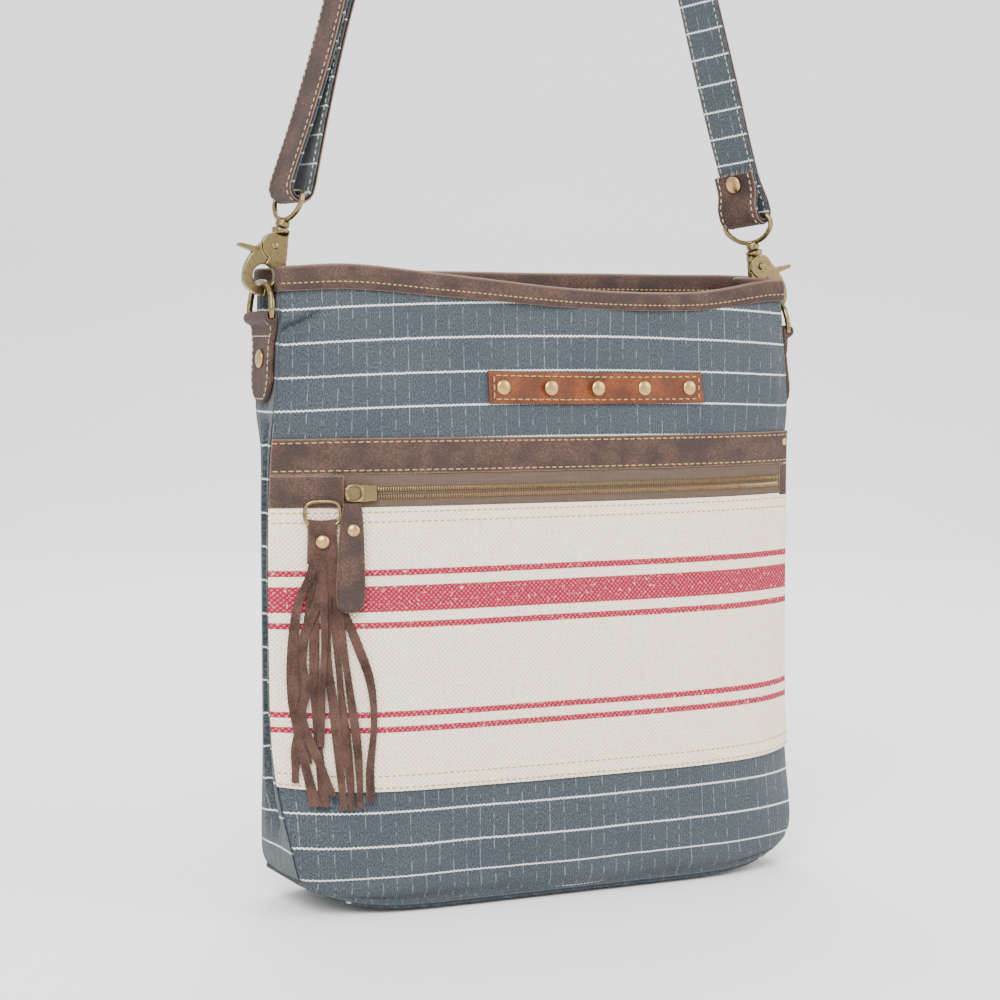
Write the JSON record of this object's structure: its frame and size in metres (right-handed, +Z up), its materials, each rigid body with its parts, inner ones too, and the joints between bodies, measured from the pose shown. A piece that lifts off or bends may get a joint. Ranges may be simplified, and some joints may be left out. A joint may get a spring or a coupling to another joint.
{
  "type": "mail carrier bag",
  "caption": "Flat upright denim shoulder bag with leather bound mouth, zipped canvas front pocket, suede tassel and long strap on two swivel hooks.",
  "frame": {"origin": "where the strap hangs: on its inner face at the very top, in the middle of its width", "axes": "+Z up along the hanging bag, -Y the bag's front with the zip, +X to the right seen from the front"},
  "size_m": [0.3189, 0.0858, 0.7708],
  "materials": {
    "denim": "woven, pale stripes",
    "brown_leather": "pebbled, dull",
    "tan_leather": "smooth, dull",
    "canvas": "coarse weave",
    "zip_tape": "fine weave",
    "suede": "suede",
    "aged_brass": "antique, worn",
    "rivets": "worn bright"
  },
  "bodies": {
    "bag": {"front_panel": "denim", "back_panel": "denim", "gusset_left": "denim", "gusset_right": "denim", "base_panel": "denim", "rim_binding": "brown_leather", "zip_band": "brown_leather", "canvas_panel": "canvas", "tan_patch": "tan_leather", "zip_end_left": "brown_leather", "zip_end_right": "brown_leather", "zip_tape": "zip_tape", "patch_rivet_1": "rivets", "patch_rivet_2": "rivets", "patch_rivet_3": "rivets", "patch_rivet_4": "rivets", "patch_rivet_5": "rivets", "zip_teeth": "aged_brass", "zip_slider": "aged_brass", "zip_bail": "aged_brass", "zip_pull": "brown_leather", "zip_pull_rivet": "rivets", "tassel": "suede", "tassel_rivet": "rivets", "tassel_ring": "aged_brass", "side_tab_left": "brown_leather", "d_ring_left": "aged_brass", "tab_rivet_left": "rivets", "side_tab_right": "brown_leather", "d_ring_right": "aged_brass", "tab_rivet_right": "rivets", "swivel_eye_left": "aged_brass", "swivel_eye_right": "aged_brass", "strap_denim": "denim", "strap_leather": "brown_leather", "strap_slide": "aged_brass", "strap_rivet": "rivets"},
    "hook_left": {"hook_body_left": "aged_brass"},
    "trigger_left": {"hook_trigger_left": "aged_brass"},
    "hook_right": {"hook_body_right": "aged_brass"},
    "trigger_right": {"hook_trigger_right": "aged_brass"}
  },
  "joints": [
    {"name": "swivel_left", "type": "hinge", "parent": "bag", "child": "hook_left", "pos_m": [-0.13621, 0, -0.43084], "axis": [0.2672, 0, 0.9636], "range_deg": [-15, 15]},
    {"name": "lever_left", "type": "hinge", "parent": "hook_left", "child": "trigger_left", "pos_m": [-0.13972, 0, -0.43786], "axis": [0, 1, 0], "range_deg": [0, 25], "stiffness_Nm_per_rad": 0.06, "springref_deg": -11.46},
    {"name": "swivel_right", "type": "hinge", "parent": "bag", "child": "hook_right", "pos_m": [0.13792, 0, -0.437], "axis": [-0.2672, 0, 0.9636], "range_deg": [-15, 15]},
    {"name": "lever_right", "type": "hinge", "parent": "hook_right", "child": "trigger_right", "pos_m": [0.14142, 0, -0.44402], "axis": [0, -1, 0], "range_deg": [0, 25], "stiffness_Nm_per_rad": 0.06, "springref_deg": -11.46}
  ]
}
